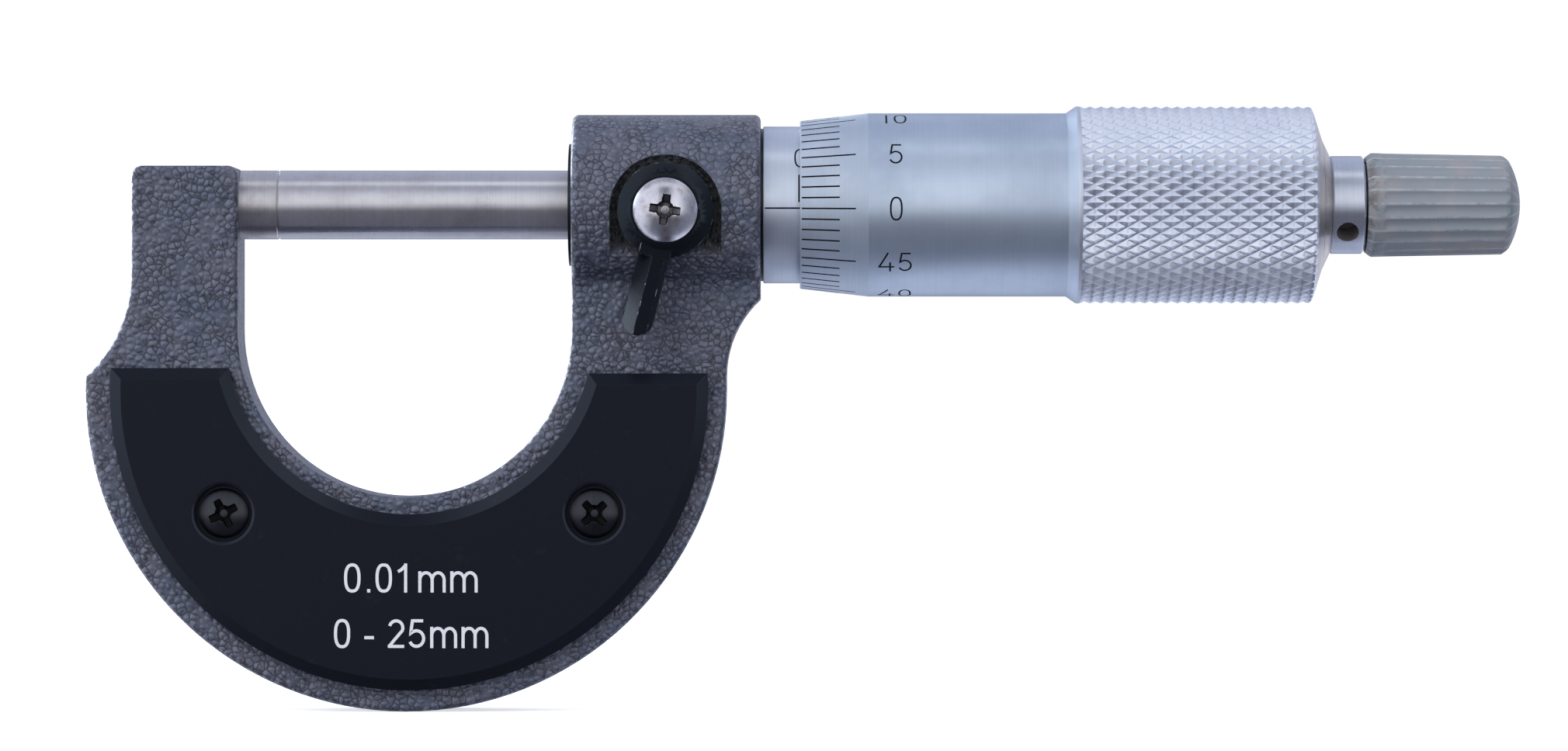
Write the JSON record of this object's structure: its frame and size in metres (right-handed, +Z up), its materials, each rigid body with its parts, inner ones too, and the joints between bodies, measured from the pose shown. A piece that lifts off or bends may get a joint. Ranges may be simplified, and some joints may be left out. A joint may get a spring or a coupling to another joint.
{
  "type": "outside micrometer",
  "caption": "C-frame outside micrometer with insulating plates, lever spindle lock, graduated sleeve, knurled thimble and fluted ratchet cap.",
  "frame": {"origin": "centre of the anvil's measuring face, on the spindle axis, where the closed spindle meets it", "axes": "+X along the spindle axis from the anvil to the ratchet, -Y towards the front with the lock lever, +Z up, away from the bow"},
  "size_m": [0.1349, 0.0206, 0.0569],
  "materials": {
    "hammertone_paint": "hammertone enamel",
    "ground_steel": "ground and lapped",
    "black_plate": "glossy black",
    "bright_screw": "bright",
    "dark_steel": "oiled steel",
    "satin_chrome": "satin",
    "black_lever": "black, semi-gloss",
    "brass_plug": "machined",
    "brown_washer": "turned, tarnished",
    "grey_cap": "moulded, fluted",
    "spring_steel": "drawn wire"
  },
  "bodies": {
    "frame": {"frame": "hammertone_paint", "anvil": "ground_steel", "front_insulating_plate": "black_plate", "rear_insulating_plate": "black_plate", "front_plate_screw_left": "dark_steel", "front_plate_screw_right": "dark_steel", "rear_plate_screw_left": "dark_steel", "rear_plate_screw_right": "dark_steel", "inner_sleeve": "dark_steel", "adjusting_nut": "dark_steel", "graduated_sleeve": "satin_chrome"},
    "spindle_carrier": {"end_washer": "brown_washer"},
    "thimble": {"thimble": "satin_chrome", "spindle": "ground_steel", "taper_coupling": "dark_steel", "ratchet_shaft": "satin_chrome", "driven_ratchet": "dark_steel", "ratchet_retaining_screw": "dark_steel"},
    "ratchet": {"ratchet_cap": "grey_cap", "driving_ratchet": "dark_steel", "ratchet_spring": "spring_steel"},
    "lock_plug": {"lock_plug": "brass_plug"},
    "lock_lever": {"lock_lever": "black_lever", "lock_stud": "dark_steel", "lock_screw": "bright_screw"}
  },
  "joints": [
    {"name": "spindle_travel", "type": "slide", "parent": "frame", "child": "spindle_carrier", "axis": [1, 0, 0], "range_m": [0, 0.025]},
    {"name": "thimble_turn", "type": "hinge", "parent": "spindle_carrier", "child": "thimble", "pos_m": [0.07, 0, 0], "axis": [1, 0, 0], "range_deg": [0, 18000]},
    {"name": "ratchet_turn", "type": "hinge", "parent": "thimble", "child": "ratchet", "pos_m": [0.11, 0, 0], "axis": [1, 0, 0], "continuous": true},
    {"name": "lock_plug_press", "type": "slide", "parent": "frame", "child": "lock_plug", "axis": [0, 1, 0], "range_m": [-0.0000875, 0.000025]},
    {"name": "lock_turn", "type": "hinge", "parent": "lock_plug", "child": "lock_lever", "pos_m": [0.03655, -0.0083, -0.0007], "axis": [0, 1, 0], "range_deg": [-42, 12]}
  ],
  "couplings": [
    {"joint": "thimble_turn", "follows": "spindle_travel", "rad_per_m": 12566},
    {"joint": "lock_turn", "follows": "lock_plug_press", "rad_per_m": 8377.6}
  ]
}
